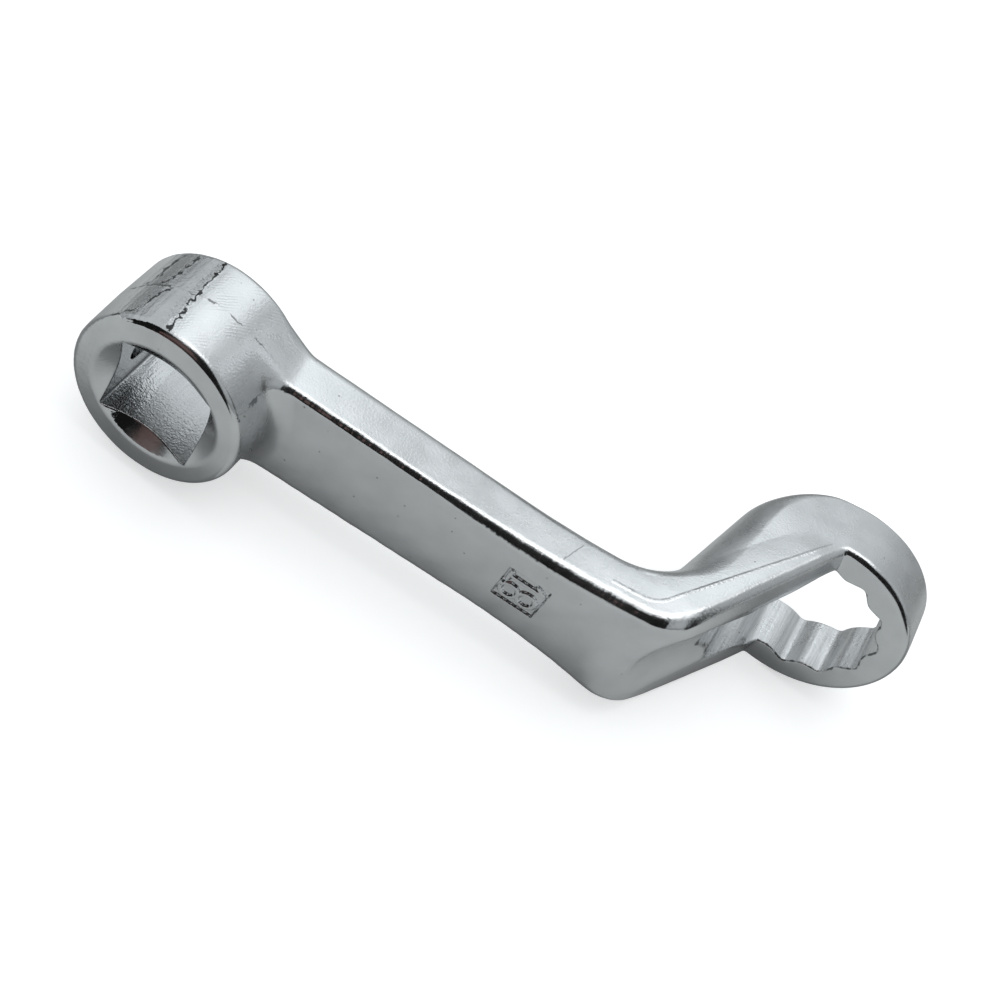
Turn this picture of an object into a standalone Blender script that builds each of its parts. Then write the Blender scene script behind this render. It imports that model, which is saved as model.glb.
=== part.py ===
"""Offset alignment wrench: a forged flat bar with a square drive head and a cranked twelve point ring.

Metres, +Z up. The tool lies on its narrow side: +X runs from the drive head to the ring, both bores
run along Y, and the faces that a user looks at point to -Y. The forging is one piece of steel, divided
by thin saw cuts into its four regions.
"""

import math

import bmesh
import bpy
import numpy as np

MM = 0.001

# Drive head
SQUARE_SIDE = 12.8 * MM  # female drive for a half inch square
SQUARE_CORNER = 0.3 * MM  # radius left by the broach
MOUTH_SLOPE = math.radians(30)  # the countersunk mouth falls at this angle from the end face
HEAD_LAND = 2.65 * MM  # flat ring between the mouth and the rounded rim
HEAD_RIM = 0.7 * MM  # radius of the rims
HEAD_LENGTH = 14.6 * MM
HEAD_DRAFT = 0.15 * MM  # how far the parting line stands out from the rims
DETENT_DIAMETER = 5.0 * MM  # pocket for the ball of a driver
DETENT_DEPTH = 1.3 * MM

# Shank
SHANK_WIDTH = 16.1 * MM
SHANK_THICKNESS = 7.15 * MM
SHANK_EDGE = 1.6 * MM  # radius of the long edges
SHANK_SETBACK = 6.6 * MM  # front of the bar behind the front of the head, at the drive axis
SHANK_LEAN = math.radians(5.0)  # the bar leans back from the head's end face
HEAD_FILLET = 5.0 * MM  # in plan, between the bar and the head

# Neck
NECK_FRONT_SLOPE = math.radians(62.7)
NECK_BACK_SLOPE = math.radians(76.6)
BEND_OUTSIDE = 5.5 * MM  # radius on the front of the bend
BEND_INSIDE = 7.5 * MM  # radius behind the bend
NECK_FOOT = 2.0 * MM  # the front slope reaches the ring's face this far before the ring's axis
NECK_TOE = 1.2 * MM  # thickness at which the neck's prongs stop on the ring
PRONG_EDGE = 0.1 * MM  # radius of the prongs' edges on the ring's face
FLARE_RADIUS = 96.0 * MM  # in plan, from the bar out to the ring
RELIEF_RADIUS = 16.4 * MM  # conical relief in the neck's front, coaxial with the ring, at its mouth
RELIEF_HEIGHT = 24.8 * MM  # from the ring's front face to that mouth
RELIEF_ANGLE = math.radians(26.4)  # between the cone's side and its axis

# Ring
RING_SIZE = 18.15 * MM  # across flats, with the clearance of an 18 mm wrench
RING_WALL = 3.7 * MM  # steel outside the points of the bore
RING_BACK_WALL = 4.6 * MM  # steel behind the bore, on the neck's side
RING_RIM = 0.7 * MM
RING_THICKNESS = 8.6 * MM
RING_HEEL = 12.0 * MM  # radius between the neck's back and the ring's back face
POINT_RADIUS = 0.3 * MM  # in the points of the bore
LOBE_RADIUS = 1.0 * MM  # on the lobes between the points
POINTS = 12

# Layout
HEAD_TO_RING = 81.05 * MM  # between the two axes
RING_DROP = 37.3 * MM  # the ring's front face behind the head's front face

# Saw cut that parts one region of the forging from the next, and how far a cutter overruns a face
GAP = 0.3 * MM
OVERRUN = 3.0 * MM
WELD = 0.001 * MM  # points nearer than this are one point

# Facets
TURN_STEPS = 64
DETENT_STEPS = 16
ARC_STEPS = 4
STATION_STEP = 1.5 * MM
SHARP_FROM = math.radians(35)  # edges that turn by more than this are shaded as edges

CHROME_TINT = (0.97, 0.99, 1.0)  # a trace of blue

# Fits worked out from the sizes above
POINT_REACH = RING_SIZE / 2 / math.cos(math.pi / 6)
LOBE_REACH = RING_SIZE / 2 / math.cos(math.pi / 12)
MOUTH_RADIUS = (SQUARE_SIDE / 2 - SQUARE_CORNER) * math.sqrt(2) + SQUARE_CORNER
HEAD_RADIUS = MOUTH_RADIUS + HEAD_LAND + HEAD_RIM
HEAD_BELT = HEAD_RADIUS + HEAD_DRAFT
RING_RADIUS = POINT_REACH + RING_WALL
RING_BACK = RING_DROP + RING_THICKNESS
HALF_WIDTH = SHANK_WIDTH / 2
BODY_LENGTH = HEAD_BELT + HEAD_TO_RING + RING_RADIUS
LOWEST = max(RING_RADIUS, HEAD_BELT)


def rounded_outline(corners, closed=True):
    """Points of an outline whose corners, given as (x, y, radius), are rounded by arcs."""
    points = []
    count = len(corners)
    for index, (x, y, radius) in enumerate(corners):
        is_end = not closed and index in (0, count - 1)
        if radius <= 0 or is_end:
            points.append((x, y))
            continue
        here = np.array((x, y))
        before = np.array(corners[index - 1][:2]) - here
        after = np.array(corners[(index + 1) % count][:2]) - here
        before /= np.linalg.norm(before)
        after /= np.linalg.norm(after)
        half = math.acos(np.clip(before @ after, -1, 1)) / 2
        reach = radius / math.tan(half)
        middle = (before + after) / np.linalg.norm(before + after)
        centre = here + middle * radius / math.sin(half)
        start = here + before * reach - centre
        sweep = math.pi - 2 * half
        if before[0] * after[1] - before[1] * after[0] > 0:
            sweep = -sweep
        for step in range(ARC_STEPS + 1):
            angle = sweep * step / ARC_STEPS
            cos, sin = math.cos(angle), math.sin(angle)
            turned_start = np.array((cos * start[0] - sin * start[1], sin * start[0] + cos * start[1]))
            points.append(tuple(centre + turned_start))
    return points


def crossing(line, other):
    """The x where two lines, given as (slope, height at x = 0), meet."""
    return (other[1] - line[1]) / (line[0] - other[0])


# The side profile: the front and the back of the bar and the neck, as Y over X
lean = math.tan(SHANK_LEAN)
front_slope = math.tan(NECK_FRONT_SLOPE)
back_slope = math.tan(NECK_BACK_SLOPE)
foot_x = HEAD_TO_RING - NECK_FOOT
heel_x = HEAD_TO_RING - POINT_REACH - RING_BACK_WALL
shank_front = (lean, SHANK_SETBACK)
shank_back = (lean, SHANK_SETBACK + SHANK_THICKNESS / math.cos(SHANK_LEAN))
neck_front = (front_slope, RING_DROP - front_slope * foot_x)
neck_back = (back_slope, RING_DROP - back_slope * heel_x)
front_bend_x = crossing(shank_front, neck_front)
back_bend_x = crossing(shank_back, neck_back)
heel_foot_x = heel_x + RING_THICKNESS / back_slope
front_path = rounded_outline(
    [
        (0, SHANK_SETBACK, 0),
        (front_bend_x, SHANK_SETBACK + lean * front_bend_x, BEND_OUTSIDE),
        (foot_x, RING_DROP, 0),
    ],
    closed=False,
)
back_path = rounded_outline(
    [
        (0, shank_back[1], 0),
        (back_bend_x, shank_back[1] + lean * back_bend_x, BEND_INSIDE),
        (heel_foot_x, RING_BACK, RING_HEEL),
        (HEAD_TO_RING, RING_BACK, 0),
    ],
    closed=False,
)

# The plan: the bar, a fillet at the head, and a long arc that flares out to the ring's circle
fillet_x = math.sqrt((HEAD_RADIUS + HEAD_FILLET) ** 2 - (HALF_WIDTH + HEAD_FILLET) ** 2)
fillet_start_x = HEAD_RADIUS * fillet_x / (HEAD_RADIUS + HEAD_FILLET)
flare_rise = RING_RADIUS - HALF_WIDTH
flare_x = HEAD_TO_RING - math.sqrt(flare_rise * (2 * FLARE_RADIUS + RING_RADIUS + HALF_WIDTH))
flare_end_x = HEAD_TO_RING - RING_RADIUS * (HEAD_TO_RING - flare_x) / (FLARE_RADIUS + RING_RADIUS)
saw_x = min(front_path[1][0], back_path[1][0]) - GAP


def half_width(x):
    """Half the tool's width in plan at x, from the head's fillet to the ring's axis."""
    if x < fillet_x:
        return HALF_WIDTH + HEAD_FILLET - math.sqrt(HEAD_FILLET**2 - (fillet_x - x) ** 2)
    if x < flare_x:
        return HALF_WIDTH
    if x < flare_end_x:
        return HALF_WIDTH + FLARE_RADIUS - math.sqrt(FLARE_RADIUS**2 - (x - flare_x) ** 2)
    return math.sqrt(RING_RADIUS**2 - (x - HEAD_TO_RING) ** 2)


def along(path, x):
    """Height of a side profile path at x."""
    xs, ys = zip(*path)
    return float(np.interp(x, xs, ys))


for old in list(bpy.data.objects):
    bpy.data.objects.remove(old, do_unlink=True)

scene = bpy.context.scene
wrench = bpy.data.collections.new("alignment_wrench")
cutters = bpy.data.collections.new("alignment_wrench_cutters")
scene.collection.children.link(wrench)
scene.collection.children.link(cutters)

# The frame's origin is the middle of the tool's underside; the sizes above count from the drive axis
origin = bpy.data.objects.new("drive_axis", None)
origin.location = (HEAD_BELT - BODY_LENGTH / 2, -RING_BACK / 2, LOWEST)
wrench.objects.link(origin)


def chrome(name, grey, roughness):
    """A plated steel finish."""
    material = bpy.data.materials.new(name)
    material.use_nodes = True
    shader = material.node_tree.nodes["Principled BSDF"]
    shader.inputs["Base Color"].default_value = (*(grey * tint for tint in CHROME_TINT), 1)
    shader.inputs["Metallic"].default_value = 1.0
    shader.inputs["Roughness"].default_value = roughness
    return material


def add_part(name, mesh, finish):
    """A named region of the forging, carried by the drive axis."""
    part = bpy.data.objects.new(name, mesh)
    part.parent = origin
    mesh.materials.clear()
    mesh.materials.append(finish)
    mesh.shade_smooth()
    mesh.set_sharp_from_angle(angle=SHARP_FROM)
    wrench.objects.link(part)
    return part


def add_cutter(name, mesh):
    """A shape that is taken away from the parts, and isn't one itself."""
    cutter = bpy.data.objects.new(name, mesh)
    cutter.parent = origin
    cutter.hide_render = True
    cutter.display_type = "WIRE"
    cutters.objects.link(cutter)
    return cutter


def cut(part, cutter):
    """Takes the cutter out of the part."""
    modifier = part.modifiers.new(f"cut_{cutter.name}", "BOOLEAN")
    modifier.object = cutter
    modifier.operation = "DIFFERENCE"
    modifier.solver = "EXACT"


def place(mesh, matrix_rows):
    """Turns a mesh by a matrix given as rows."""
    turn = np.array(matrix_rows)
    for vertex in mesh.vertices:
        vertex.co = turn @ np.array(vertex.co)


def plate(name, outline, low, high, rim=0.0, upright=False):
    """A mesh of a flat outline, with rounded rims. An outline in (x, z) runs from low to high in Y;
    an upright one, in (x, y), runs from low to high in Z."""
    curve = bpy.data.curves.new(name, "CURVE")
    curve.dimensions = "2D"
    curve.fill_mode = "BOTH"
    curve.extrude = (high - low) / 2 - rim
    curve.bevel_depth = rim
    curve.bevel_resolution = 1
    curve.offset = -rim
    spline = curve.splines.new("POLY")
    spline.points.add(len(outline) - 1)
    for point, (x, y) in zip(spline.points, outline):
        point.co = (x, y, 0, 1)
    spline.use_cyclic_u = True
    drawn = bpy.data.objects.new(name, curve)
    cutters.objects.link(drawn)
    depsgraph = bpy.context.evaluated_depsgraph_get()
    mesh = bpy.data.meshes.new_from_object(drawn.evaluated_get(depsgraph))
    mesh.name = name
    bpy.data.objects.remove(drawn, do_unlink=True)
    work = bmesh.new()
    work.from_mesh(mesh)
    bmesh.ops.remove_doubles(work, verts=work.verts, dist=WELD)
    middle = (low + high) / 2
    for vertex in work.verts:
        x, y, depth = vertex.co
        vertex.co = (x, y, depth + middle) if upright else (x, depth + middle, y)
    work.normal_update()
    bmesh.ops.recalc_face_normals(work, faces=work.faces)
    work.to_mesh(mesh)
    work.free()
    return mesh


def turned(name, profile):
    """A mesh turned about the Y axis from (radius, y) points that run from the front to the back."""
    mesh = bpy.data.meshes.new(name)
    points = [(radius, 0, -y) for radius, y in profile]
    edges = [(index, index + 1) for index in range(len(profile) - 1)]
    mesh.from_pydata(points, edges, [])
    lathe = bpy.data.objects.new(name, mesh)
    cutters.objects.link(lathe)
    screw = lathe.modifiers.new("lathe", "SCREW")
    screw.steps = TURN_STEPS
    screw.render_steps = TURN_STEPS
    screw.use_merge_vertices = True
    screw.merge_threshold = WELD
    depsgraph = bpy.context.evaluated_depsgraph_get()
    solid = bpy.data.meshes.new_from_object(lathe.evaluated_get(depsgraph))
    solid.name = name
    bpy.data.objects.remove(lathe, do_unlink=True)
    place(solid, [(1, 0, 0), (0, 0, -1), (0, 1, 0)])
    return solid


def bar_section(x, front, back, front_edge, back_edge):
    """Points round the bar at x: a rectangle with rounded corners, as (x, y, z)."""
    wide = half_width(x)
    deep = (back - front) / 2 - WELD
    front_edge = min(front_edge, deep)
    back_edge = min(back_edge, deep)
    points = []
    for side_y, side_z, edge_y, quarter in (
        (front, wide, front_edge, 0),
        (front, -wide, front_edge, 1),
        (back, -wide, back_edge, 2),
        (back, wide, back_edge, 3),
    ):
        edge_z = min(SHANK_EDGE, edge_y)
        centre_y = side_y + math.copysign(edge_y, (front + back) / 2 - side_y)
        centre_z = side_z - math.copysign(edge_z, side_z)
        for step in range(ARC_STEPS + 1):
            angle = math.pi / 2 * (quarter + step / ARC_STEPS)
            points.append((x, centre_y - edge_y * math.sin(angle), centre_z + edge_z * math.cos(angle)))
    return points


def loft(name, sections):
    """A closed mesh through sections of like point counts, with flat ends."""
    work = bmesh.new()
    rings = [[work.verts.new(point) for point in section] for section in sections]
    count = len(rings[0])
    for ring, following in zip(rings, rings[1:]):
        for index in range(count):
            beside = (index + 1) % count
            work.faces.new((ring[index], ring[beside], following[beside], following[index]))
    work.faces.new(rings[0])
    work.faces.new(reversed(rings[-1]))
    bmesh.ops.recalc_face_normals(work, faces=work.faces)
    mesh = bpy.data.meshes.new(name)
    work.to_mesh(mesh)
    work.free()
    return mesh


def stations(start, end):
    """Places along X, evenly spread and close enough for the curves."""
    return np.linspace(start, end, 2 + int((end - start) / STATION_STEP))


def drive_head():
    """The round head, with a rounded rim at each end and a trace of draft to the parting line."""
    rim_radius = HEAD_RADIUS - HEAD_RIM
    quarter = [math.pi / 2 * step / ARC_STEPS for step in range(ARC_STEPS + 1)]
    front = [(rim_radius + HEAD_RIM * math.sin(a), HEAD_RIM * (1 - math.cos(a))) for a in quarter]
    back = [(radius, HEAD_LENGTH - y) for radius, y in reversed(front)]
    belt = [(HEAD_BELT, HEAD_LENGTH / 2)]
    profile = [(0, 0), *front, *belt, *back, (0, HEAD_LENGTH)]
    part = add_part("drive_head", turned("drive_head", profile), chrome("chrome_drive_head", 0.62, 0.22))
    half = SQUARE_SIDE / 2
    corners = ((-half, -half), (half, -half), (half, half), (-half, half))
    square = [(x, z, SQUARE_CORNER) for x, z in corners]
    broach = plate("square_broach", rounded_outline(square), -OVERRUN, HEAD_LENGTH + OVERRUN)
    cut(part, add_cutter("square_broach", broach))
    fall = math.tan(MOUTH_SLOPE)
    drill_reach = MOUTH_RADIUS + OVERRUN / fall
    drill = turned("mouth_drill", [(0, -OVERRUN), (drill_reach, -OVERRUN), (0, MOUTH_RADIUS * fall)])
    cut(part, add_cutter("mouth_drill", drill))
    pocket = bmesh.new()
    bmesh.ops.create_cone(
        pocket,
        cap_ends=True,
        segments=DETENT_STEPS,
        radius1=DETENT_DIAMETER / 2,
        radius2=DETENT_DIAMETER / 2,
        depth=2 * DETENT_DEPTH,
    )
    pocket_mesh = bpy.data.meshes.new("detent_drill")
    pocket.to_mesh(pocket_mesh)
    pocket.free()
    detent = add_cutter("detent_drill", pocket_mesh)
    detent.rotation_euler = (0, math.pi / 2, 0)
    detent.location = (-half, HEAD_LENGTH / 2, 0)
    cut(part, detent)


def shank():
    """The straight bar, from the head's side to the saw cut at the bend."""
    sections = []
    for x in stations(fillet_start_x, saw_x - GAP / 2):
        sections.append(bar_section(x, along(front_path, x), along(back_path, x), SHANK_EDGE, SHANK_EDGE))
    part = add_part("shank", loft("shank", sections), chrome("chrome_shank", 0.60, 0.25))
    reach = HEAD_BELT + GAP
    low, high = -OVERRUN, RING_BACK
    clearance = turned("head_clearance", [(0, low), (reach, low), (reach, high), (0, high)])
    cut(part, add_cutter("head_clearance", clearance))


def neck(bore):
    """The bend and the sloping arm, hollowed by the relief, whose two prongs lie on the ring's face."""
    floor = RING_DROP - GAP
    toe_x = foot_x - (NECK_TOE + GAP) / front_slope
    sections = []
    for x in stations(saw_x + GAP / 2, toe_x):
        front, back = along(front_path, x), along(back_path, x)
        on_ring = back > floor - SHANK_EDGE
        back_edge = PRONG_EDGE if on_ring else SHANK_EDGE
        sections.append(bar_section(x, front, min(back, floor), SHANK_EDGE, back_edge))
    part = add_part("neck", loft("neck", sections), chrome("chrome_neck", 0.60, 0.27))
    spread = math.tan(RELIEF_ANGLE)
    mouth_y = RING_DROP - RELIEF_HEIGHT
    widest = RELIEF_RADIUS + (mouth_y + OVERRUN) * spread
    cone = [(0, -OVERRUN), (widest, -OVERRUN), (0, mouth_y + RELIEF_RADIUS / spread)]
    relief = add_cutter("relief_cutter", turned("relief_cutter", cone))
    relief.location = (HEAD_TO_RING, 0, 0)
    cut(part, relief)
    cut(part, bore)


def ring_head(bore):
    """The ring, whose outline runs from the flare round the ring's circle, and whose heel is rounded."""
    lower = [(x, -half_width(x)) for x in stations(heel_x, flare_end_x)]
    turn = math.acos((flare_end_x - HEAD_TO_RING) / RING_RADIUS)
    around = TURN_STEPS
    rim = []
    for step in range(1, around):
        angle = -turn + 2 * turn * step / around
        rim.append((HEAD_TO_RING + RING_RADIUS * math.cos(angle), RING_RADIUS * math.sin(angle)))
    upper = [(x, -z) for x, z in reversed(lower)]
    outline = plate("ring_head", lower + rim + upper, RING_DROP, RING_BACK, RING_RIM)
    part = add_part("ring_head", outline, chrome("chrome_ring_head", 0.61, 0.25))
    heel = [point for point in back_path if point[0] > back_bend_x and point[1] > RING_DROP - OVERRUN]
    first_x = heel_x - OVERRUN / back_slope
    outside = [(first_x, RING_DROP - OVERRUN)] + heel
    outside += [(HEAD_TO_RING, RING_BACK + OVERRUN), (first_x - OVERRUN, RING_BACK + OVERRUN)]
    outside.append((first_x - OVERRUN, RING_DROP - OVERRUN))
    trim = plate("heel_trim", outside, -RING_RADIUS - OVERRUN, RING_RADIUS + OVERRUN, upright=True)
    cut(part, add_cutter("heel_trim", trim))
    cut(part, bore)


def twelve_point_broach():
    """The bore's cutter: two hexagons turned by half a flat, long enough to notch the neck as well."""
    corners = []
    for index in range(2 * POINTS):
        angle = math.pi / POINTS * (index + 1)
        is_point = index % 2 == 0
        reach, radius = (POINT_REACH, POINT_RADIUS) if is_point else (LOBE_REACH, LOBE_RADIUS)
        corners.append((HEAD_TO_RING + reach * math.cos(angle), reach * math.sin(angle), radius))
    mesh = plate("twelve_point_broach", rounded_outline(corners), 0, RING_BACK + OVERRUN)
    return add_cutter("twelve_point_broach", mesh)


bore = twelve_point_broach()
drive_head()
shank()
neck(bore)
ring_head(bore)
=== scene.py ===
import itertools
import math

import bmesh
import bpy
import numpy as np
from mathutils import Matrix, Vector


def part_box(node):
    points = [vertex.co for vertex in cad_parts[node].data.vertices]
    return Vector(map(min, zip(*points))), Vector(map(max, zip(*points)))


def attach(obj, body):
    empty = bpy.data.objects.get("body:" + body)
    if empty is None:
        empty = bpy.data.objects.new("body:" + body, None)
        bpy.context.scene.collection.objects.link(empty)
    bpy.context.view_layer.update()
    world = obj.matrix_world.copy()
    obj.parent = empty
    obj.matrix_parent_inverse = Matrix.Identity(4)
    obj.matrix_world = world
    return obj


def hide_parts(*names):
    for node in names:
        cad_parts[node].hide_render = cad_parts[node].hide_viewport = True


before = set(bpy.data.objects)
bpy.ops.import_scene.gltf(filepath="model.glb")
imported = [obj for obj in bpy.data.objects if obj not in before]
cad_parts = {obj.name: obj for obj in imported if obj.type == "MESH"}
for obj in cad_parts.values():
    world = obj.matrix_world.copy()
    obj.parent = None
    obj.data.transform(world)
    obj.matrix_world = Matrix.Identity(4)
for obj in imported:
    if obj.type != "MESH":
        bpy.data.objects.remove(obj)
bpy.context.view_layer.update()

# The forged bar. One length of chrome vanadium steel, drop forged between two dies that meet along the
# middle of its narrow sides, trimmed, and cranked so that the ring hangs below the drive head.
# Sizes are in millimetres from the drive axis at the head's front face: x along, y backwards, z up.
mm = 0.001
boss_low, boss_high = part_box("drive_head")
drive_axis = np.array([(boss_low[0] + boss_high[0]) / 2, boss_low[1], (boss_low[2] + boss_high[2]) / 2])
bar_half, bar_taper, bar_thick = 7.79, 0.0190, 7.2
bar_lean, bar_setback = math.tan(math.radians(5.0)), 6.6
flare_start, flare_radius, flare_dip = 53.8, 92.0, 0.13
neck_front_slope, neck_back_slope = math.tan(math.radians(62.7)), math.tan(math.radians(76.6))
bend_outside, bend_inside, neck_foot, neck_fold = 7.4, 8.5, 1.78, 0.8
neck_crown, neck_crown_half, neck_crown_shift = 0.36, 4.6, 1.0
ring_axis, ring_shift, ring_outer, ring_draft = 81.05, -0.12, 14.05, 0.03
ring_drop, ring_thick, ring_heel = 37.3, 8.6, 9.6
point_reach, back_wall = 10.479, 4.9
bar_edge, bend_edge, neck_edge, under_edge, rim_edge, keel_edge = 0.95, 1.8, 1.3, 1.65, 1.0, 0.35
neck_lean, neck_lean_reach = 1.0, 3.5
bar_back_edge, rim_back_edge, neck_back_edge = 1.6, 0.6, 4.6
die_draft = 0.018
bar_start, beyond = -60, 160
parting_line = [(bar_start, 3.6, 0), (61.9, 14.6, 4), (101.9, 76.0, 0)]
flash_proud, flash_step, flash_width = 0.034, 0.006, 0.13
flash_span, bend_span, neck_span, under_span, rim_span = (53, 61), (28, 54), (12, 20), (16, 30), (32, 38)
crown_span, crown_fade, keel_span, keel_fade = (13, 18), (34, 38), (13, 20), (76, 83)
lean_span, back_span, back_fade = (9, 15), (17, 27), (65, 76)


def ease(v, low, high):
    """Rises smoothly from 0 at low to 1 at high."""
    t = np.clip((v - low) / (high - low), 0, 1)
    return t * t * (3 - 2 * t)


def round_max(a, b, r):
    """Where both fields overlap, with the corner rounded off to radius r."""
    return np.minimum(np.maximum(a, b), -r) + np.hypot(np.maximum(a + r, 0), np.maximum(b + r, 0))


def rounded_line(px, py, corners):
    """Signed distance to a line with rounded corners (x, y, radius), positive on its right."""
    best = np.full(np.broadcast(px, py).shape, 1e9)
    starts, ends, arcs = [], [], []
    points = [np.array(c[:2], float) for c in corners]
    for i in range(1, len(points) - 1):
        before = points[i] - points[i - 1]
        after = points[i + 1] - points[i]
        before /= np.linalg.norm(before)
        after /= np.linalg.norm(after)
        turn = math.atan2(before[0] * after[1] - before[1] * after[0], before @ after)
        radius = corners[i][2]
        reach = radius * math.tan(abs(turn) / 2)
        starts.append(points[i] + after * reach)
        ends.append(points[i] - before * reach)
        side = math.copysign(1.0, turn)
        inward = np.array([-before[1], before[0]]) * side
        centre = ends[-1] + inward * radius
        arcs.append((centre, radius, side, -inward, np.array([after[1], -after[0]]) * side))
    for start, end in zip([points[0]] + starts, ends + [points[-1]]):
        along = end - start
        length = np.linalg.norm(along)
        along /= length
        dx, dy = px - start[0], py - start[1]
        t = np.clip(dx * along[0] + dy * along[1], 0, length)
        across = dx * along[1] - dy * along[0]
        d = np.copysign(np.hypot(dx - along[0] * t, dy - along[1] * t), across)
        best = np.where(np.abs(d) < np.abs(best), d, best)
    for centre, radius, side, first, last in arcs:
        dx, dy = px - centre[0], py - centre[1]
        middle = first + last
        middle /= np.linalg.norm(middle)
        far = np.hypot(dx, dy)
        within = dx * middle[0] + dy * middle[1] >= far * (first @ middle)
        d = (far - radius) * side
        best = np.where(within & (np.abs(d) < np.abs(best)), d, best)
    return best


def outline(x, z):
    """Distance from the bar's outline as seen along the drive axis."""
    across = np.abs(z + flare_dip * ease(x, 56, 63) * (1 - ease(x, 72, 78)))
    centre = ring_axis + ring_shift
    gap = math.hypot(centre - flare_start, bar_half)
    rise = math.atan2(-bar_half, centre - flare_start) + math.asin(ring_outer / gap)
    flare_run = 80
    side = -rounded_line(x, across, [(bar_start, bar_half + bar_taper * (flare_start - bar_start), 0),
                                     (flare_start, bar_half, flare_radius),
                                     (flare_start + flare_run, bar_half + flare_run * math.tan(rise), 0)])
    circle = np.hypot(x - centre, z) - ring_outer
    past = (x - centre) * math.cos(rise) + across * math.sin(rise) > 0
    return np.where(past, circle, side)


def front_face(x, y):
    """Distance in front of the bar's face, which runs down the neck and on into the ring's front."""
    foot = ring_axis - neck_foot
    bend = (ring_drop - neck_front_slope * foot - bar_setback) / (bar_lean - neck_front_slope)
    return rounded_line(x, y, [(bar_start, bar_setback + bar_start * bar_lean, 0),
                               (bend, bar_setback + bar_lean * bend, bend_outside),
                               (foot, ring_drop, neck_fold), (beyond, ring_drop, 0)])


def back_face(x, y):
    """Distance behind the bar's back, down the neck and round the heel to the ring's back."""
    start = bar_setback + bar_thick * math.hypot(1, bar_lean)
    heel = ring_axis - point_reach - back_wall + ring_thick / neck_back_slope
    bottom = ring_drop + ring_thick
    bend = (bottom - neck_back_slope * heel - start) / (bar_lean - neck_back_slope)
    return -rounded_line(x, y, [(bar_start, start + bar_start * bar_lean, 0),
                                (bend, start + bar_lean * bend, bend_inside),
                                (heel, bottom, ring_heel), (beyond, bottom, 0)])


def flash(along, behind):
    """How far the torn flash and the dies' slight mismatch stand proud near the parting line."""
    torn = 0.6 + 0.4 * np.sin(1.9 * along) * np.sin(0.73 * along + 1)
    behind = behind + 0.05 * np.sin(9 * along) + 0.04 * np.sin(17 * along + 2)
    ridge = flash_proud * torn * np.exp(-(behind / flash_width) ** 2)
    return ridge + flash_step * ease(behind, -flash_width, flash_width)


def bar(x, y, z):
    """The whole cranked bar, with drafted sides and rounded edges, before any hole is cut."""
    behind = -rounded_line(x, y, parting_line)
    above_ring = 1 - ease(y, ring_drop - 4, ring_drop)
    draft = die_draft * (np.hypot(behind, 0.5) - 0.5)
    proud = flash(x + 0.5 * y, behind) * ease(x, *flash_span)
    off = outline(x, z)
    wall = off + ring_draft * np.maximum(y - ring_drop - 2.5, 0) + (draft - proud) * above_ring
    crown = neck_crown * np.maximum(1 - ((behind + neck_crown_shift) / neck_crown_half) ** 2, 0)
    wall = wall - crown * ease(y, *crown_span) * (1 - ease(y, *crown_fade))
    upper = ease(z, -2, 2)
    edge = bar_edge + (bend_edge - bar_edge) * ease(x, *bend_span)
    edge = edge + (neck_edge - edge) * ease(y, *neck_span)
    edge = under_edge + (edge - under_edge) * upper
    edge = edge + (rim_edge - edge) * ease(y, *under_span) * (1 - upper)
    edge = edge + (rim_edge - edge) * ease(y, *rim_span)
    ragged = (0.03 * np.sin(0.9 * x + 0.6) + 0.025 * np.sin(2.3 * x + 1.9)
              + 0.014 * np.sin(6.1 * x) * np.sin(1.7 * x) + 0.01 * np.sin(9.7 * x) * np.sin(2.6 * x + 0.7))
    edge = edge + ragged * ease(30 - y, 0, 8)
    keel = ease(-z, 1, 6) * ease(y, *keel_span) * (1 - ease(x, *keel_fade))
    edge = edge + (keel_edge - edge) * keel
    lean = np.clip(1 + off / neck_lean_reach, 0, 1) ** 1.3 * ease(y, *lean_span) * ease(z, 0, 3)
    steel = round_max(wall, front_face(x + neck_lean * lean, y), edge)
    back_edge = bar_back_edge + (neck_back_edge - bar_back_edge) * ease(y, *back_span)
    back_edge = rim_back_edge + (back_edge - rim_back_edge) * (1 - ease(x, *back_fade))
    steel = round_max(steel, back_face(x, y), back_edge)
    return np.maximum(steel, -x)


def forge_waves(x, y, z):
    """Slow waviness that the dies and the polishing belt leave in the steel."""
    return (0.010 * np.sin(0.61 * x + 0.35 * y + 0.8) * np.cos(0.47 * z - 0.2 * x + 0.4)
            + 0.006 * np.sin(1.27 * x - 0.9 * z + 0.3 * y + 2.1) * np.cos(0.83 * y + 0.5 * z))


# The drive head. A round boss forged on the end of the bar and blended into it by a fillet; a 1/2 inch
# square is broached through it, countersunk at both mouths, with a pocket for the driver's sprung ball.
# The left of its outside was dressed on a belt up to a ragged edge, and then all of it was chrome plated.
boss_radius, boss_oval, boss_shift_x, boss_shift_z = 12.65, 1.07, -0.12, 0.15
boss_length, boss_bulge, boss_rim, boss_back_rim = 14.6, 0.14, 1.0, 0.85
boss_fillet, boss_back_fillet = 3.0, 2.3
boss_parting, boss_parting_lean = 7.6, 0.122
square_half, square_corner, square_edge = 6.4, 0.3, 0.2
mouth_radius, mouth_angle, mouth_blend = 8.927, math.radians(30), 0.15
detent_y, detent_z, detent_radius, detent_depth, detent_edge = 6.9, -0.4, 2.5, 1.3, 0.1
head_cut = 12.9
lattice, lattice_offset, weld, pinhole_sides = 0.3, 0.5, 0.015, 8
bend_limits = (12, 14, 20)
plate_tint = (0.61, 0.622, 0.632)
plate_haze, forged_haze, peel_depth, grain_depth, pit_depth = 0.14, 0.14, 4e-6, 3.4e-5, 2e-5
cloud_scale, pit_scale, tooth_scale, peel_scale, grain_scale, tear_scale = 260, 400, 2600, 1400, 3600, 2400
square_drag, square_tear, square_streak = 1.4e-5, 2.4e-5, 0.05
hatch_pitch = (-11000, 11000, 600)


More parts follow.
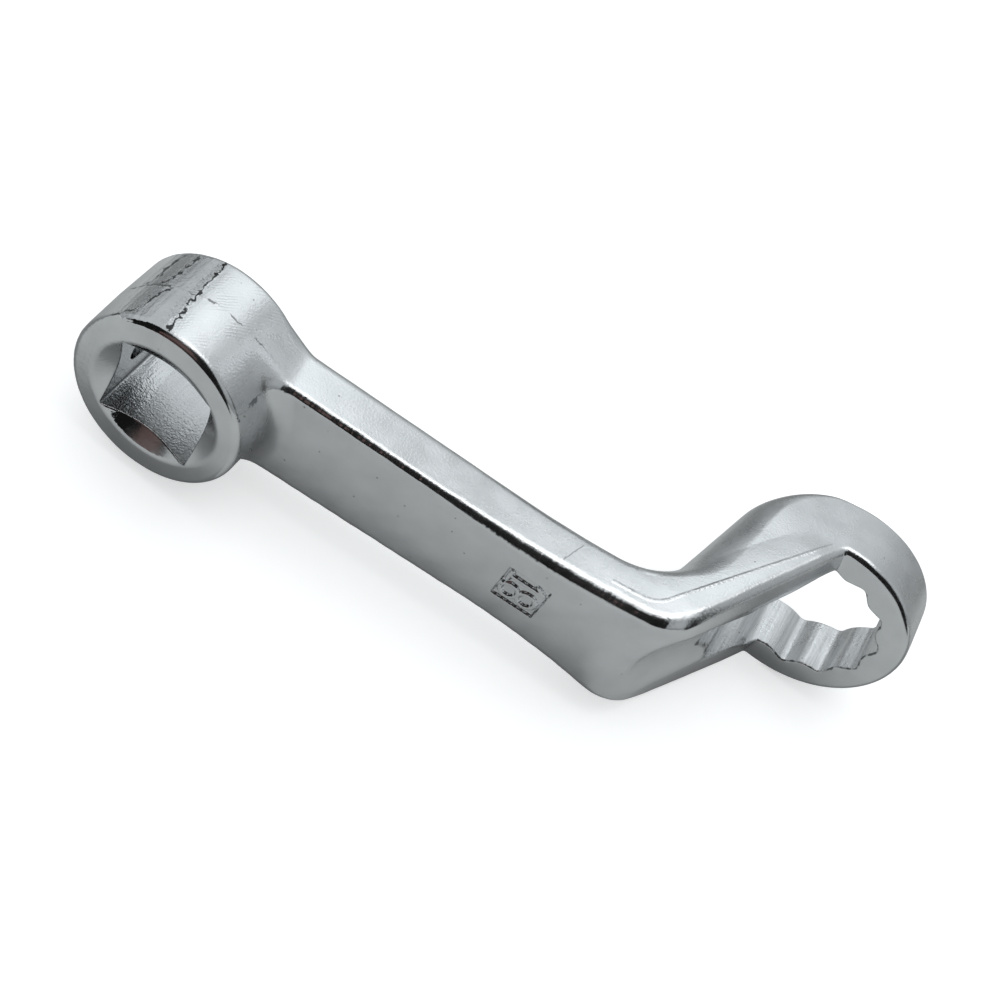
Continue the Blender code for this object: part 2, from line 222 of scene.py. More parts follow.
def round_min(a, b, r):
    """Both fields joined, with a fillet of radius r in the corner."""
    return -round_max(-a, -b, r)


def forged_on(boss_steel, bar_steel, y):
    """The boss and the bar as one, with the fillet between them tighter at the back."""
    return round_min(boss_steel, bar_steel, boss_fillet + (boss_back_fillet - boss_fillet) * ease(y, 7, 13))


def boss(x, y, z):
    """Distance outside the solid boss, slightly oval and bulged, with its rims rounded."""
    across = np.hypot((x - boss_shift_x) * boss_oval, z - boss_shift_z)
    behind = y - boss_parting - boss_parting_lean * x
    turn = np.arctan2(z, x)
    wall = across - boss_radius - boss_bulge * (1 - np.abs(2 * y / boss_length - 1))
    belt = 0.012 * np.sin(31 * turn + 1.1) * np.sin(7 * turn) + 0.006 * np.sin(83 * turn)
    wall = wall - 0.7 * flash(boss_radius * turn, behind) + belt * (1 - ease(x, -3, -1.5))
    steel = round_max(wall, -y, boss_rim)
    return round_max(steel, y - boss_length, boss_back_rim)


def drive_square(x, z):
    """Distance outside the square as it is broached, with small corner radii."""
    side_x, side_z = np.abs(x) - square_half + square_corner, np.abs(z) - square_half + square_corner
    return (np.hypot(np.maximum(side_x, 0), np.maximum(side_z, 0))
            + np.minimum(np.maximum(side_x, side_z), 0) - square_corner)


def drive_hole(x, y, z):
    """The square hole with a countersink at each mouth and the round pocket in its left wall."""
    depth = np.minimum(y, boss_length - y)
    mouth = depth * math.cos(mouth_angle) - (mouth_radius - np.hypot(x, z)) * math.sin(mouth_angle)
    pocket = np.hypot(y - detent_y, z - detent_z) - detent_radius
    pocket = np.maximum(np.maximum(pocket, -(x + square_half + detent_depth)), x + 1)
    return round_min(round_min(drive_square(x, z), mouth, mouth_blend), pocket, detent_edge)


def head_steel(x, y, z):
    steel = forged_on(boss(x, y, z), bar(x, y, z), y)
    return round_max(steel, -drive_hole(x, y, z), square_edge) + forge_waves(x, y, z)


def probe(steel, points):
    """The field's value and slope at each point, from four readings close round it."""
    step = 0.003
    value, slope = 0, 0
    for corner in np.array([(1, -1, -1), (-1, -1, 1), (-1, 1, -1), (1, 1, 1)]):
        reading = steel(*(points + corner * step).T)
        value = value + reading / 4
        slope = slope + reading[:, None] * corner / (4 * step)
    return value, slope


def settle(steel, points, rounds):
    """Moves points along the field's slope until they lie on the steel's surface."""
    for _ in range(rounds):
        value, slope = probe(steel, points)
        steep = np.maximum(np.sum(slope * slope, axis=1), 0.25)
        points = points - slope * (np.clip(value, -0.25, 0.25) / steep)[:, None]
    return points


def lattice_skin(steel, low, high):
    """Points and four-sided faces of the steel's surface inside a box, on the forging's common lattice.

    The lattice stands half a step off, so that no flat face lies in one of its planes.
    """
    first = [math.floor(v / lattice) for v in low]
    last = [math.ceil(v / lattice) for v in high]
    axes = [(np.arange(a, b + 1) + lattice_offset) * lattice for a, b in zip(first, last)]
    field = steel(*np.meshgrid(*axes, indexing="ij", sparse=True))
    inside = field < 0
    size = np.array(field.shape)
    filled = np.zeros(size - 1, np.int8)
    for di, dj, dk in itertools.product((0, 1), repeat=3):
        filled += inside[di:size[0] - 1 + di, dj:size[1] - 1 + dj, dk:size[2] - 1 + dk]
    mixed = (filled > 0) & (filled < 8)
    cells = np.argwhere(mixed)
    number = np.full(mixed.shape, -1, np.int64)
    number[mixed] = np.arange(len(cells))
    total = np.zeros((len(cells), 3))
    count = np.zeros(len(cells))
    steps = np.eye(3, dtype=int)
    for axis in range(3):
        others = [a for a in range(3) if a != axis]
        for da, db in itertools.product((0, 1), repeat=2):
            here = cells + steps[others[0]] * da + steps[others[1]] * db
            a = field[tuple(here.T)]
            b = field[tuple((here + steps[axis]).T)]
            crosses = (a < 0) != (b < 0)
            t = np.where(crosses, a / np.where(crosses, a - b, 1), 0)
            total += np.where(crosses[:, None], here + steps[axis] * t[:, None], 0)
            count += crosses
    points = (total / count[:, None] + np.array(first) + lattice_offset) * lattice
    faces = []
    for axis in range(3):
        side, up = (axis + 1) % 3, (axis + 2) % 3
        lower = [slice(None)] * 3
        upper = [slice(None)] * 3
        lower[axis] = slice(0, -1)
        upper[axis] = slice(1, None)
        edges = np.argwhere(inside[tuple(lower)] != inside[tuple(upper)])
        room = np.ones(len(edges), bool)
        for a in (side, up):
            room &= (edges[:, a] > 0) & (edges[:, a] < size[a] - 1)
        edges = edges[room]
        around = (edges - steps[side] - steps[up], edges - steps[up], edges, edges - steps[side])
        ring = np.stack([number[tuple(cell.T)] for cell in around], axis=1)
        outward = inside[tuple(edges.T)]
        faces.append(np.where(outward[:, None], ring, ring[:, ::-1]))
    return points, np.concatenate(faces)


def mesh_arrays(mesh):
    points = np.empty(len(mesh.vertices) * 3)
    mesh.vertices.foreach_get("co", points)
    corners = np.empty(len(mesh.loops), np.int32)
    mesh.loops.foreach_get("vertex_index", corners)
    starts = np.empty(len(mesh.polygons), np.int32)
    mesh.polygons.foreach_get("loop_start", starts)
    return points.reshape(-1, 3), corners, starts


def unit(vectors):
    return vectors / np.maximum(np.linalg.norm(vectors, axis=1), 1e-9)[:, None]


def note(piece, name, values):
    """Keeps a value at each mesh point for the finish to read."""
    made = piece.data.attributes.new(name, "FLOAT", "POINT")
    made.data.foreach_set("value", np.asarray(values, np.float32))


def places(piece):
    """Each mesh point's x, y and z in the forging's millimetres."""
    return ((mesh_arrays(piece.data)[0] - drive_axis) / mm).T


def saw_out(name, steel, low, high, cuts):
    """One named region of the forging as a closed mesh; cuts are (point, direction away from it)."""
    points, faces = lattice_skin(steel, low, high)
    points = settle(steel, points, 3)
    mesh = bpy.data.meshes.new(name)
    mesh.from_pydata(points.tolist(), [], faces.tolist())
    for limit in bend_limits:
        points, corners, starts = mesh_arrays(mesh)
        normals = unit(probe(steel, points)[1])
        middle = np.add.reduceat(normals[corners], starts, axis=0)
        lengths = np.diff(np.append(starts, len(corners)))
        level = np.sum(normals[corners] * unit(middle)[np.repeat(np.arange(len(starts)), lengths)], axis=1)
        bent = np.minimum.reduceat(level, starts) < math.cos(math.radians(limit) / 2)
        work = bmesh.new()
        work.from_mesh(mesh)
        work.faces.ensure_lookup_table()
        edges = {e for i in np.flatnonzero(bent) for e in work.faces[i].edges}
        edges = sorted(edges, key=lambda e: e.index)
        bmesh.ops.subdivide_edges(work, edges=edges, cuts=1, use_grid_fill=True)
        work.to_mesh(mesh)
        work.free()
        known = len(points)
        points = mesh_arrays(mesh)[0]
        points[known:] = settle(steel, points[known:], 2)
        mesh.vertices.foreach_set("co", points.ravel())
    work = bmesh.new()
    work.from_mesh(mesh)
    # Points that fell together are welded, two-edged ones dissolved and the pinholes left closed.
    bmesh.ops.remove_doubles(work, verts=work.verts[:], dist=weld)
    loose = [v for v in work.verts if len(v.link_edges) == 2 and not v.is_boundary]
    bmesh.ops.dissolve_verts(work, verts=loose)
    bmesh.ops.holes_fill(work, edges=[e for e in work.edges if e.is_boundary], sides=pinhole_sides)
    caps = []
    for point, away in cuts:
        whole = work.verts[:] + work.edges[:] + work.faces[:]
        sawn = bmesh.ops.bisect_plane(work, geom=whole, plane_co=point, plane_no=away,
                                      clear_outer=True, dist=1e-5)
        rim = [e for e in sawn["geom_cut"] if isinstance(e, bmesh.types.BMEdge)]
        filled = bmesh.ops.triangle_fill(work, edges=rim, use_beauty=True, normal=away)["geom"]
        caps += [f for f in filled if isinstance(f, bmesh.types.BMFace)]
    bmesh.ops.recalc_face_normals(work, faces=work.faces[:])
    for f in work.faces:
        f.smooth = True
    for f in caps:
        f.material_index = 1
    work.to_mesh(mesh)
    work.free()
    points, corners, starts = mesh_arrays(mesh)
    normals = unit(probe(steel, points)[1])
    loops = normals[corners]
    for face in mesh.polygons:
        if face.material_index == 1:
            loops[face.loop_start:face.loop_start + face.loop_total] = face.normal
            face.material_index = 0
    mesh.normals_split_custom_set(loops.tolist())
    mesh.vertices.foreach_set("co", (points * mm + drive_axis).ravel())
    mesh.update()
    piece = bpy.data.objects.new(name, mesh)
    bpy.context.scene.collection.objects.link(piece)
    note(piece, "forged", 1 - ease(np.abs(normals[:, 1]), 0.25, 0.75))
    return piece


def add(tree, kind, sockets=(), **settings):
    """A shader node with its settings made, each socket given a value or another node's output."""
    made = tree.nodes.new("ShaderNode" + kind)
    for key, value in settings.items():
        setattr(made, key, value)
    for key, value in dict(sockets).items():
        if isinstance(value, bpy.types.NodeSocket):
            tree.links.new(value, made.inputs[key])
        else:
            made.inputs[key].default_value = value
    return made


def sum_up(tree, operation, a, b, c=0.0):
    return add(tree, "Math", {0: a, 1: b, 2: c}, operation=operation).outputs["Value"]


def grains(tree, place, scale, detail):
    return add(tree, "TexNoise", {"Vector": place, "Scale": scale, "Detail": detail}).outputs["Fac"]


def reading(tree, name):
    return add(tree, "Attribute", attribute_name=name).outputs["Fac"]


def ramp(tree, value, start, end, first, last):
    return add(tree, "MapRange", {"Value": value, "From Min": start, "From Max": end,
                                  "To Min": first, "To Max": last}).outputs["Result"]


def shade(tree, colour, level):
    return add(tree, "VectorMath", {0: colour, "Scale": level}, operation="SCALE").outputs["Vector"]


def fed(shader, socket):
    """What is wired into one of the shader's sockets so far."""
    return shader.inputs[socket].links[0].from_socket


def bump(tree, height, distance, under=None):
    sockets = {"Height": height, "Strength": 1.0, "Distance": distance}
    if under:
        sockets["Normal"] = under
    return add(tree, "Bump", sockets).outputs["Normal"]


def chrome(name, drag, tear, streak):
    """Bright chrome over nickel: near mirror where the steel was ground, pearly on the forged skin."""
    material = bpy.data.materials.new(name)
    material.use_nodes = True
    tree = material.node_tree
    shader = tree.nodes["Principled BSDF"]
    shader.inputs["Metallic"].default_value = 1
    place = add(tree, "TexCoord").outputs["Object"]
    cloud = grains(tree, place, cloud_scale, 4)
    broached = reading(tree, "broached")
    matt = sum_up(tree, "MAXIMUM", sum_up(tree, "MAXIMUM", reading(tree, "forged"), broached), 0.12)
    speck = add(tree, "TexVoronoi", {"Vector": place, "Scale": pit_scale}).outputs["Distance"]
    pit = ramp(tree, speck, 0.03, 0.06, 1, 0)
    along = add(tree, "Mapping", {"Vector": place, "Scale": (1, 0.05, 1)}).outputs["Vector"]
    tooth = grains(tree, along, tooth_scale, 3)
    bright = sum_up(tree, "MULTIPLY_ADD", pit, -0.5, ramp(tree, cloud, 0.3, 0.7, 0.94, 1.06))
    streaks = ramp(tree, tooth, 0.35, 0.65, -0.3 * streak, 1.5 * streak)
    bright = sum_up(tree, "MULTIPLY_ADD", streaks, broached, bright)
    tree.links.new(shade(tree, plate_tint, bright), shader.inputs["Base Color"])
    haze = ramp(tree, cloud, 0.3, 0.7, plate_haze * 0.7, plate_haze * 1.3)
    tree.links.new(sum_up(tree, "MULTIPLY_ADD", matt, forged_haze, haze), shader.inputs["Roughness"])
    skin = bump(tree, grains(tree, place, peel_scale, 2), peel_depth)
    forged = sum_up(tree, "MULTIPLY", grains(tree, place, grain_scale, 2), matt)
    pearl = bump(tree, forged, grain_depth, skin)
    dragged = bump(tree, sum_up(tree, "MULTIPLY", tooth, broached), drag, pearl)
    torn = bump(tree, sum_up(tree, "MULTIPLY", grains(tree, place, tear_scale, 1), broached), tear, dragged)
    tree.links.new(bump(tree, pit, -pit_depth, torn), shader.inputs["Normal"])
    return material


drive_head = saw_out("drive_head_forging", head_steel, (-14, -1.5, -14), (15.5, 16.5, 14),
                     [((head_cut, 0, 0), (1, 0, 0))])
x, y, z = places(drive_head)
on_boss = 1 - ease(np.hypot(x, z), 13.3, 14.5)
outside = (z > 3) & (y > 0.5) & (np.abs(boss(x, y, z)) < 0.2)
belt_edge = x + 2.0 + 0.085 * y + 0.12 * np.sin(5.1 * y) + 0.08 * np.sin(12.7 * y + 1)
hatched = ease(belt_edge, 0.1, 0.6) * (1 - ease(x, 4.5, 7.5)) * on_boss
hatched = hatched * ease(z, 8, 9) * ease(y, 0.9, 1.3)
patchy = 0.15 + 0.85 * ease(np.sin(0.9 * y + 0.4 * x) + np.sin(1.7 * x - 0.6 * y), 0.1, 1.1)
note(drive_head, "broached", 1 - ease(np.abs(drive_square(x, z)), 0.02, 0.1))
note(drive_head, "belted", (1 - ease(belt_edge, -0.25, 0.1)) * on_boss)
note(drive_head, "hatched", hatched * patchy)
belt_limit = [(-2.05, 0.6, 0), (-2.6, 6.0, 20), (-3.15, 14.2, 0)]
front_lap = [(-9.2, 0.2, 0), (-7.0, 1.7, 1), (-6.5, 3.5, 1), (-6.35, 5.4, 0.5), (-5.6, 6.6, 0)]
back_lap = [(-8.5, 6.6, 0), (-7.2, 7.2, 0.6), (-6.5, 8.2, 0.8), (-6.4, 13.8, 0)]
side_lap = [(-8.7, 7.0, 0), (-8.3, 9.0, 1), (-8.4, 11.0, 1), (-8.1, 13.6, 0)]
die_line = [(end, boss_parting + boss_parting_lean * end, 0) for end in (-10.2, 6.5)]
fillet_fold = [(9.7, 0.8, 0), (9.65, 4.6, 0)]
laps = [(belt_limit, 0.08, 0.1), (front_lap, 0.15, 0.06), (back_lap, 0.2, 0.05), (side_lap, 0.15, 0.06),
        (die_line, 0.35, 0.0), (fillet_fold, 0.4, 0.03)]
for i, (line, _, _) in enumerate(laps):
    off = rounded_line(x, y, line)
    note(drive_head, "lap_%d" % i, np.where(outside, off, np.copysign(9, off)))

finish = chrome("head_chrome", square_drag, square_tear, square_streak)
tree = finish.node_tree
shader = tree.nodes["Principled BSDF"]
place = add(tree, "TexCoord").outputs["Object"]
belted = reading(tree, "belted")
gloss = ramp(tree, belted, 0, 1, 1, 0.35)
tree.links.new(sum_up(tree, "MULTIPLY", fed(shader, "Roughness"), gloss), shader.inputs["Roughness"])
ripple = grains(tree, place, 1100, 2)
wavy = bump(tree, sum_up(tree, "MULTIPLY", ripple, belted), 2.2e-5, fed(shader, "Normal"))
slant = add(tree, "VectorMath", {0: place, 1: hatch_pitch}, operation="DOT_PRODUCT").outputs["Value"]
comb = sum_up(tree, "SINE", sum_up(tree, "MULTIPLY_ADD", ripple, 5, slant), 0)
scored = bump(tree, sum_up(tree, "MULTIPLY", comb, reading(tree, "hatched")), 3e-6, wavy)
tree.links.new(scored, shader.inputs["Normal"])
wander = sum_up(tree, "MULTIPLY_ADD", grains(tree, place, 1300, 4), 1.6, -0.8)
thick = sum_up(tree, "MULTIPLY_ADD", grains(tree, place, 700, 3), -0.8, 0.4)
# Painted shade: the base colour is darkened on the walls inside the square hole.
square_shade = ramp(tree, reading(tree, "broached"), 0, 1, 1, 0.65)
scratch = sum_up(tree, "MULTIPLY", ramp(tree, comb, 0.6, 0.98, 0, 0.22), reading(tree, "hatched"))
colour = shade(tree, fed(shader, "Base Color"), sum_up(tree, "SUBTRACT", square_shade, scratch))
for i, (_, dark, width) in enumerate(laps):
    off = sum_up(tree, "ABSOLUTE", sum_up(tree, "ADD", reading(tree, "lap_%d" % i), wander), 0)
    burr = ramp(tree, sum_up(tree, "ADD", off, thick), width, width + 0.1, dark, 1)
    colour = shade(tree, colour, burr)
tree.links.new(colour, shader.inputs["Base Color"])
drive_head.data.materials.append(finish)
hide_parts("drive_head")
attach(drive_head, "root")


# The shank. The straight flat bar between the head and the bend, left with the satin of its forged sides
# and a ground front; the ring's size, plain figures standing in a sunk panel, was struck into that front.
mark_x, mark_half_x, mark_z, mark_half_z = 48.37, 2.93, 0.25, 3.05
mark_depth, mark_stroke, mark_wall, mark_blend = 0.32, 0.33, 0.18, 0.7
shank_cut = 56.0
hairline_x, hairline_y, hairline_slope, hairline_end = 49.7, 12.3, 0.28, 16.4


def stroke(x, z, start, end):
    ax, az = end[0] - start[0], end[1] - start[1]
    t = np.clip(((x - start[0]) * ax + (z - start[1]) * az) / (ax * ax + az * az), 0, 1)
    return np.hypot(x - start[0] - ax * t, z - start[1] - az * t)


def size_mark(x, z):
    """Depth of the struck panel below the shank's front, with the two raised figures left standing."""
    panel_x = np.abs(x - mark_x) - mark_half_x
    panel_z = np.abs(z - mark_z) - mark_half_z
    panel = (np.hypot(np.maximum(panel_x, 0), np.maximum(panel_z, 0))
             + np.minimum(np.maximum(panel_x, panel_z), 0))
    stem = stroke(x, z, (45.95, 1.95), (50.75, 1.95))
    flag = stroke(x, z, (50.75, 2.0), (49.75, 2.75))
    serif = stroke(x, z, (45.95, 1.1), (45.95, 2.75))
    low_loop = np.abs(np.hypot(x - 47.0, z + 0.78) - 1.22)
    high_loop = np.abs(np.hypot(x - 49.5, z + 0.78) - 1.22)
    first_figure = np.minimum(np.minimum(stem, flag), serif)
    figures = round_min(first_figure, np.minimum(low_loop, high_loop), mark_blend) - mark_stroke
    worn = 0.022 * np.sin(8.3 * x + 3.1 * z) + 0.012 * np.sin(14.9 * x - 10.3 * z + 1.4)
    sunk = ease(worn - panel, -mark_wall, mark_wall)
    raised = ease(worn - figures, -mark_wall, mark_wall)
    return mark_depth * sunk * (1 - raised)


def shank_steel(x, y, z):
    steel = forged_on(boss(x, y, z), bar(x, y, z), y)
    struck = np.maximum(steel, front_face(x, y) + size_mark(x, z))
    return np.where(np.abs(x - mark_x) < mark_half_x + 1, struck, steel) + forge_waves(x, y, z)


shank = saw_out("shank_forging", shank_steel, (10.5, -1.5, -14), (58.5, 24, 14),
                [((head_cut, 0, 0), (-1, 0, 0)), ((shank_cut, 0, 0), (1, 0, 0))])
x, y, z = places(shank)
on_line = (z > 5) & (y > hairline_y) & (y < hairline_end)
note(shank, "hairline", np.where(on_line, x - hairline_x - hairline_slope * (y - hairline_y), 9))
finish = chrome("shank_chrome", square_drag, square_tear, square_streak)
tree = finish.node_tree
shader = tree.nodes["Principled BSDF"]
wander = grains(tree, add(tree, "TexCoord").outputs["Object"], 1600, 2)
line = sum_up(tree, "MULTIPLY_ADD", wander, 0.5, sum_up(tree, "SUBTRACT", reading(tree, "hairline"), 0.25))
crack = ramp(tree, sum_up(tree, "ABSOLUTE", line, 0), 0.03, 0.09, 0.45, 1)
tree.links.new(shade(tree, fed(shader, "Base Color"), crack), shader.inputs["Base Color"])
shank.data.materials.append(finish)
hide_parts("shank")
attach(shank, "root")


# The neck. The same steel bent steeply down and flared out to the ring; the back of the bend is well
# rounded, and a cone cut along the ring's axis, with the ring's twelve points broached on through it,
# relieves the front so that a socket can reach the nut.
flank_angle, flank_reach, tip_radius, lobe_radius = math.radians(33.0), 8.90, 1.1, 2.4
bore_dip, bore_edge = 0.22, 0.28
scoop_radius, scoop_start, scoop_slope, scoop_edge = 16.4, 12.5, 0.4965, 0.4
ring_cut = 37.15
star_drag, star_tear, star_streak = 2.2e-5, 4.4e-5, 0.15


def star_bore(x, z):
    """Distance outside the broached twelve point bore."""
    dx, dz = x - ring_axis, z + bore_dip
    across = np.hypot(dx, dz)
    step = math.pi / 6
    turn = np.abs(np.mod(np.arctan2(dz, dx), step) - step / 2)
    qx, qz = across * np.cos(turn), across * np.sin(turn)
    flank = qx * math.cos(flank_angle) + qz * math.sin(flank_angle) - flank_reach
    along = qz * math.cos(flank_angle) - qx * math.sin(flank_angle)
    tip_centre = (flank_reach - tip_radius) / math.cos(flank_angle)
    tip = np.hypot(qx - tip_centre, qz) - tip_radius
    lobe_centre = (flank_reach + lobe_radius) / math.cos(flank_angle - step / 2)
    lobe_x, lobe_z = lobe_centre * math.cos(step / 2), lobe_centre * math.sin(step / 2)
    lobe = lobe_radius - np.hypot(qx - lobe_x, qz - lobe_z)
    bore = np.where(along < -(flank_reach - tip_radius) * math.tan(flank_angle), tip, flank)
    return np.where(along > -(flank_reach + lobe_radius) * math.tan(flank_angle - step / 2), lobe, bore)


def relief(x, y, z):
    """Distance outside the cone that is cut along the ring's axis."""
    cone = np.hypot(x - ring_axis, z) - scoop_radius + scoop_slope * (y - scoop_start)
    return cone / math.hypot(1, scoop_slope)


def neck_steel(x, y, z):
    steel = round_max(bar(x, y, z), -relief(x, y, z), scoop_edge)
    return round_max(steel, -star_bore(x, z), bore_edge) + forge_waves(x, y, z)


neck = saw_out("neck_forging", neck_steel, (53.5, 6, -16), (84, 40, 16),
               [((shank_cut, 0, 0), (-1, 0, 0)), ((0, ring_cut, 0), (0, 1, 0))])
x, y, z = places(neck)
note(neck, "broached", 1 - ease(np.abs(star_bore(x, z)), 0.02, 0.1))
note(neck, "lip", np.hypot(star_bore(x, z), relief(x, y, z)))
note(neck, "parting", np.where(z > 0, rounded_line(x, y, parting_line), 9))
finish = chrome("neck_chrome", star_drag, star_tear, star_streak)
tree = finish.node_tree
shader = tree.nodes["Principled BSDF"]
crumbs = grains(tree, add(tree, "TexCoord").outputs["Object"], 2600, 2)
near_line = ramp(tree, sum_up(tree, "ABSOLUTE", reading(tree, "parting"), 0), 0.06, 0.3, 1, 0)
ragged = bump(tree, sum_up(tree, "MULTIPLY", crumbs, near_line), 1.1e-4, fed(shader, "Normal"))
tree.links.new(ragged, shader.inputs["Normal"])


def burr_line(tree):
    """Darkens the broken burr that the broach leaves along the lip of the bore."""
    shader = tree.nodes["Principled BSDF"]
    ragged = grains(tree, add(tree, "TexCoord").outputs["Object"], 900, 3)
    lip = sum_up(tree, "ADD", ragged, reading(tree, "lip"))
    dark = shade(tree, fed(shader, "Base Color"), ramp(tree, lip, 0.58, 0.68, 0.3, 1))
    tree.links.new(dark, shader.inputs["Base Color"])


burr_line(tree)
neck.data.materials.append(finish)
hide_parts("neck")
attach(neck, "root")


# The ring. The thick round end that goes over the nut, ground flat on its front and back; its twelve
# point bore is broached right through and chamfered at the back, where the broach goes in.
chamfer_radius, chamfer_blend = 10.25, 0.15


def ring_steel(x, y, z):
    chamfer = ((ring_drop + ring_thick - y) * math.cos(mouth_angle)
               - (chamfer_radius - np.hypot(x - ring_axis, z)) * math.sin(mouth_angle))
    bore = round_min(star_bore(x, z), chamfer, chamfer_blend)
    return round_max(bar(x, y, z), -bore, bore_edge) + forge_waves(x, y, z)


ring = saw_out("ring_forging", ring_steel, (60, 34.5, -16), (97, 47.5, 16),
               [((0, ring_cut, 0), (0, -1, 0))])
x, y, z = places(ring)
note(ring, "broached", 1 - ease(np.abs(star_bore(x, z)), 0.02, 0.1))
lip = np.hypot(star_bore(x, z), y - ring_drop)
note(ring, "lip", np.where(x > ring_axis - neck_foot, lip, 9))
finish = chrome("ring_chrome", star_drag, star_tear, star_streak)
burr_line(finish.node_tree)
ring.data.materials.append(finish)
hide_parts("ring_head")
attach(ring, "root")


# The studio. A plain pale floor under one soft overhead box and an even sky; dark and grey cards, seen
# only in the chrome, stand round the tool as they do round any shiny thing on a photographer's table.
# The pale cards glow and are painted reflections; the grey paper under the tool has painted shadow.
floor_half = 30.0
mesh = bpy.data.meshes.new("floor")
mesh.from_pydata([(-floor_half, -floor_half, 0), (floor_half, -floor_half, 0),
                  (floor_half, floor_half, 0), (-floor_half, floor_half, 0)], [], [(0, 1, 2, 3)])
floor = bpy.data.objects.new("floor", mesh)
bpy.context.scene.collection.objects.link(floor)
material = bpy.data.materials.new("floor_white")
material.use_nodes = True
tree = material.node_tree
shader = tree.nodes["Principled BSDF"]
shader.inputs["Base Color"].default_value = (0.8, 0.8, 0.8, 1)
shader.inputs["Roughness"].default_value = 0.9
path = add(tree, "LightPath").outputs
seen = sum_up(tree, "ADD", path["Is Camera Ray"], path["Is Glossy Ray"])
seen = sum_up(tree, "ADD", seen, path["Is Transmission Ray"])
shader.inputs["Emission Color"].default_value = (1, 1, 1, 1)
tree.links.new(sum_up(tree, "MULTIPLY", seen, 0.48), shader.inputs["Emission Strength"])
mesh.materials.append(material)


def bearing(lon, lat, far):
    """A point seen from the tool at a bearing (0 towards the viewer, 90 to the right) and a height."""
    lon, lat = math.radians(lon), math.radians(lat)
    return (far * math.sin(lon) * math.cos(lat), -far * math.cos(lon) * math.cos(lat), far * math.sin(lat))


def card(name, corners, faces, colour, level):
    """A panel held round the tool that is only seen in the chrome."""
    mesh = bpy.data.meshes.new(name)
    mesh.from_pydata(corners, [], faces)
    panel = bpy.data.objects.new(name, mesh)
    bpy.context.scene.collection.objects.link(panel)
    material = bpy.data.materials.new(name)
    material.use_nodes = True
    shader = material.node_tree.nodes["Principled BSDF"]
    shader.inputs["Base Color"].default_value = (0, 0, 0, 1)
    shader.inputs["Roughness"].default_value = 1
    shader.inputs["Specular IOR Level"].default_value = 0
    shader.inputs["Emission Color"].default_value = (*colour, 1)
    shader.inputs["Emission Strength"].default_value = level
    mesh.materials.append(material)
    panel.visible_camera = False
    panel.visible_diffuse = False
    panel.visible_shadow = False
    return panel


def far_card(name, outline, far, colour, level):
    corners = [bearing(lon, lat, far) for lon, lat in outline]
    return card(name, corners, [tuple(range(len(corners)))], colour, level)


black, dusk, white = (0.01, 0.01, 0.01), (0.2, 0.205, 0.21), (1, 1, 1)
brown, cool = (0.134, 0.087, 0.08), (0.95, 1, 1.02)
far_card("flag", [(-62, 0.3), (20, 0.3), (42, 0.3), (46, 40), (44, 62), (34, 74), (8, 75), (0, 62),
                  (-12, 54), (-34, 50), (-62, 40)], 1.5, black, 1)
far_card("warm_card", [(-30, 2), (0, 2), (0, 40), (-26, 44)], 0.6, brown, 1)
# This pale card glows, a painted reflection seen only in the chrome.
far_card("front_top_glow", [(-70, 64), (-30, 62), (8, 64), (40, 74), (90, 80), (-90, 80)], 1.6, white, 1.3)
far_card("frame", [(-141, 24), (-137, 24), (-136, 52), (-141, 52)], 1.5, black, 1)
far_card("far_rail", [(-152, 3), (-112, 3), (-112, 6), (-152, 6)], 1.5, black, 1)


def near_card(name, corners, colour, level):
    """A small card close to the tool: corners in the forging's millimetres, heights from the floor."""
    ground = np.array([drive_axis[0], drive_axis[1], 0])
    return card(name, [tuple(np.array(c) * mm + ground) for c in corners], [(0, 1, 2, 3)], colour, level)


near_card("near_flag", [(-58, -62, 0.8), (54, -62, 0.8), (62, -62, 30), (-68, -62, 30)], black, 1)
near_card("near_warm", [(-29, -61, 3), (-8, -61, 3), (-7, -61, 15), (-27, -61, 17)], brown, 1)
near_card("rim_flag", [(128, -8, 12), (148, 22, 12), (142, 22, 95), (118, -6, 95)], black, 1)
near_card("ring_flag", [(34, 71, 18), (44, 71, 18), (56, 71, 46), (44, 71, 46)], dusk, 1)
# The window and the two pale cards glow, painted reflections seen only in the chrome.
near_card("window", [(-163, 195, 195), (-8, 249, 203), (-8, 147, 292), (-92, 113, 292)], cool, 1.48)
near_card("head_glow_card", [(-8, 48, 52), (17, 48, 52), (17, 48, 98), (-8, 48, 98)], cool, 1.42)
near_card("neck_glow_card", [(50.5, 60, 53), (64, 60, 53), (64, 60, 95), (50.5, 60, 95)], cool, 1.55)
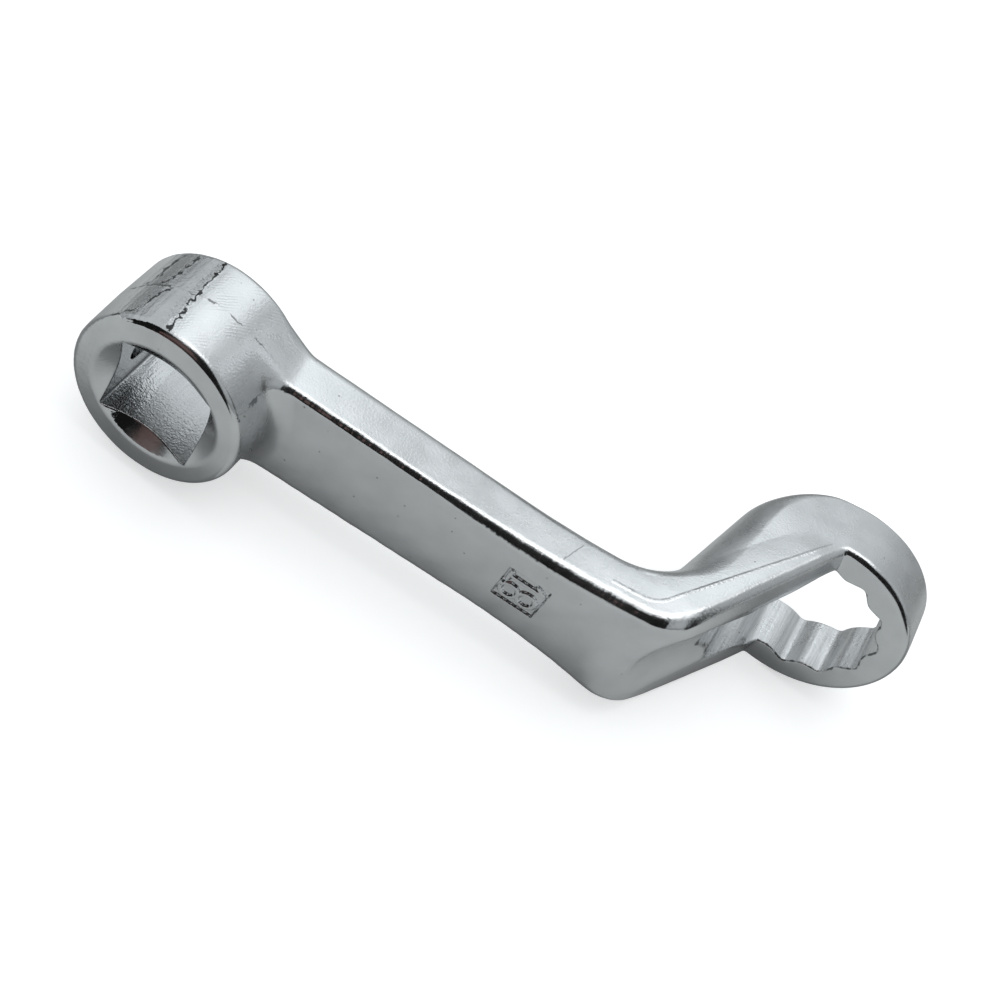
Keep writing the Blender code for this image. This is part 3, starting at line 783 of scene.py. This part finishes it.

# Painted shadow: the grey paper's rows are darker just in front of and under the tool, and far behind it.
tool_front = [(-1000, 0), (-14, 0), (12.5, 0), (13.5, 7.8), (62, 12.0), (80, 41.0), (97, 41.0),
              (1000, 41.0)]
paper_painted_shadow = [(-600, 0.5), (-75, 0.5), (-45, 1), (-8, 0.55), (0, 0.45), (3, 0.5), (6, 0.6), (8, 0.83),
               (10.7, 0.94), (14, 1), (1000, 1)]
paper_lift = 0.0003
corners = [(x * mm + drive_axis[0], (y - out) * mm + drive_axis[1], paper_lift)
           for out, _ in paper_painted_shadow for x, y in tool_front]
columns = len(tool_front)
quads = [(r * columns + c, (r + 1) * columns + c, (r + 1) * columns + c + 1, r * columns + c + 1)
         for r in range(len(paper_painted_shadow) - 1) for c in range(columns - 1)]
paper = card("shadow_painted_paper", corners, quads, white, 0)
note(paper, "shade", [level for _, level in paper_painted_shadow for _ in tool_front])
tree = paper.data.materials[0].node_tree
shadowed_grey = shade(tree, (0.7, 0.7, 0.693), reading(tree, "shade"))
tree.links.new(shadowed_grey, tree.nodes["Principled BSDF"].inputs["Base Color"])

world = bpy.data.worlds.new("studio")
bpy.context.scene.world = world
world.use_nodes = True
tree = world.node_tree
way = add(tree, "SeparateXYZ", {"Vector": add(tree, "TexCoord").outputs["Generated"]}).outputs
sides = add(tree, "ValToRGB", {"Fac": ramp(tree, way["X"], -1, 1, 0, 1)})
stops = [(0.17, 0.75), (0.275, 0.82), (0.61, 0.82), (0.745, 0.6), (0.85, 0.55)]
while len(sides.color_ramp.elements) < len(stops):
    sides.color_ramp.elements.new(1)
for element, (position, level) in zip(sides.color_ramp.elements, stops):
    element.position = position
    element.color = (level, level, level, 1)
low_sky = add(tree, "MapRange", {"Value": way["Z"], "From Min": 0.0, "From Max": 0.45, "To Min": 0.55,
                                 "To Max": 1.0}, interpolation_type="SMOOTHSTEP").outputs["Result"]
sky = tree.nodes["Background"]
sky.inputs["Color"].default_value = (0.94, 0.985, 1, 1)
tree.links.new(sum_up(tree, "MULTIPLY", sides.outputs["Color"], low_sky), sky.inputs["Strength"])

lamp = bpy.data.lights.new("softbox", "AREA")
lamp.shape = "RECTANGLE"
lamp.size = 0.9
lamp.size_y = 0.76
lamp.energy = 2.6
light = bpy.data.objects.new("softbox", lamp)
light.location = (0.05, 0.15, 1.2)
bpy.context.scene.collection.objects.link(light)

camera_data = bpy.data.cameras.new("camera")
camera_data.sensor_width = 36
camera_data.lens = 60.763
camera_data.clip_start = 0.01
camera = bpy.data.objects.new("camera", camera_data)
right, up = Vector((0.7954, 0.4622, 0.3920)), Vector((-0.6060, 0.6129, 0.5070))
forward = Vector((0.0059, 0.6409, -0.7676))
turn = Matrix((right, up, -forward)).transposed().to_4x4()
camera.matrix_world = Matrix.Translation((-0.003161, -0.13883, 0.177949)) @ turn
bpy.context.scene.collection.objects.link(camera)
bpy.context.scene.camera = camera
bpy.context.scene.view_settings.view_transform = "Standard"
